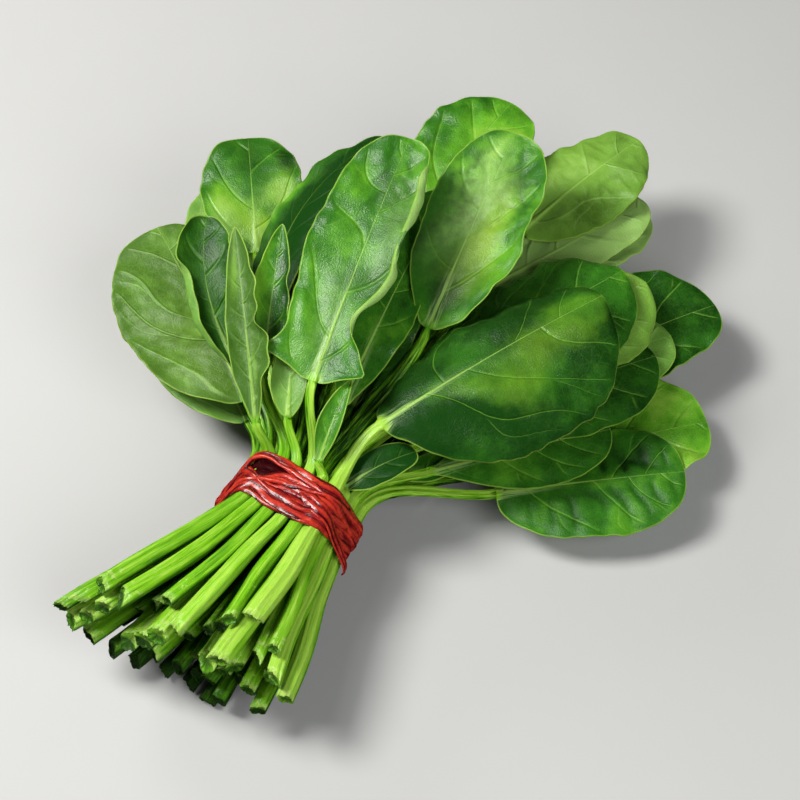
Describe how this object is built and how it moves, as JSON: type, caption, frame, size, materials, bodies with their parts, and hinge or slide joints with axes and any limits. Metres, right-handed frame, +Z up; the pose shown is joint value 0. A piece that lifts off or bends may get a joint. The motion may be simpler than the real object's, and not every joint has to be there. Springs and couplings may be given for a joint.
{
  "type": "spinach bunch",
  "caption": "Bunch of fresh spinach leaves on long stalks, tied round the stalks with a ribbon and lying on its side.",
  "frame": {"origin": "middle of the bunch's bounding box at the surface it lies on", "axes": "+X from the cut ends of the stalks towards the leaf tips, +Y to the left of that, +Z up"},
  "size_m": [0.2934, 0.2428, 0.1036],
  "materials": {
    "leaf": "satin",
    "ribbon": "crumpled gloss"
  },
  "bodies": {
    "root": {"leaf_01": "leaf", "leaf_02": "leaf", "leaf_03": "leaf", "leaf_04": "leaf", "leaf_05": "leaf", "leaf_06": "leaf", "leaf_07": "leaf", "leaf_08": "leaf", "leaf_09": "leaf", "leaf_10": "leaf", "leaf_11": "leaf", "leaf_12": "leaf", "leaf_13": "leaf", "leaf_14": "leaf", "leaf_15": "leaf", "leaf_16": "leaf", "leaf_17": "leaf", "leaf_18": "leaf", "leaf_19": "leaf", "leaf_20": "leaf", "leaf_21": "leaf", "leaf_22": "leaf", "leaf_23": "leaf", "leaf_24": "leaf", "leaf_25": "leaf", "leaf_26": "leaf", "leaf_27": "leaf", "leaf_28": "leaf", "leaf_29": "leaf", "leaf_30": "leaf", "leaf_31": "leaf", "leaf_32": "leaf", "leaf_33": "leaf", "leaf_34": "leaf", "leaf_35": "leaf", "leaf_36": "leaf", "leaf_37": "leaf", "leaf_38": "leaf", "leaf_39": "leaf", "leaf_40": "leaf", "leaf_41": "leaf", "leaf_42": "leaf", "leaf_43": "leaf", "leaf_44": "leaf", "leaf_45": "leaf", "leaf_46": "leaf", "leaf_47": "leaf", "leaf_48": "leaf", "leaf_49": "leaf", "leaf_50": "leaf", "leaf_51": "leaf", "leaf_52": "leaf", "leaf_53": "leaf", "leaf_54": "leaf", "tie_ribbon": "ribbon"}
  },
  "joints": []
}
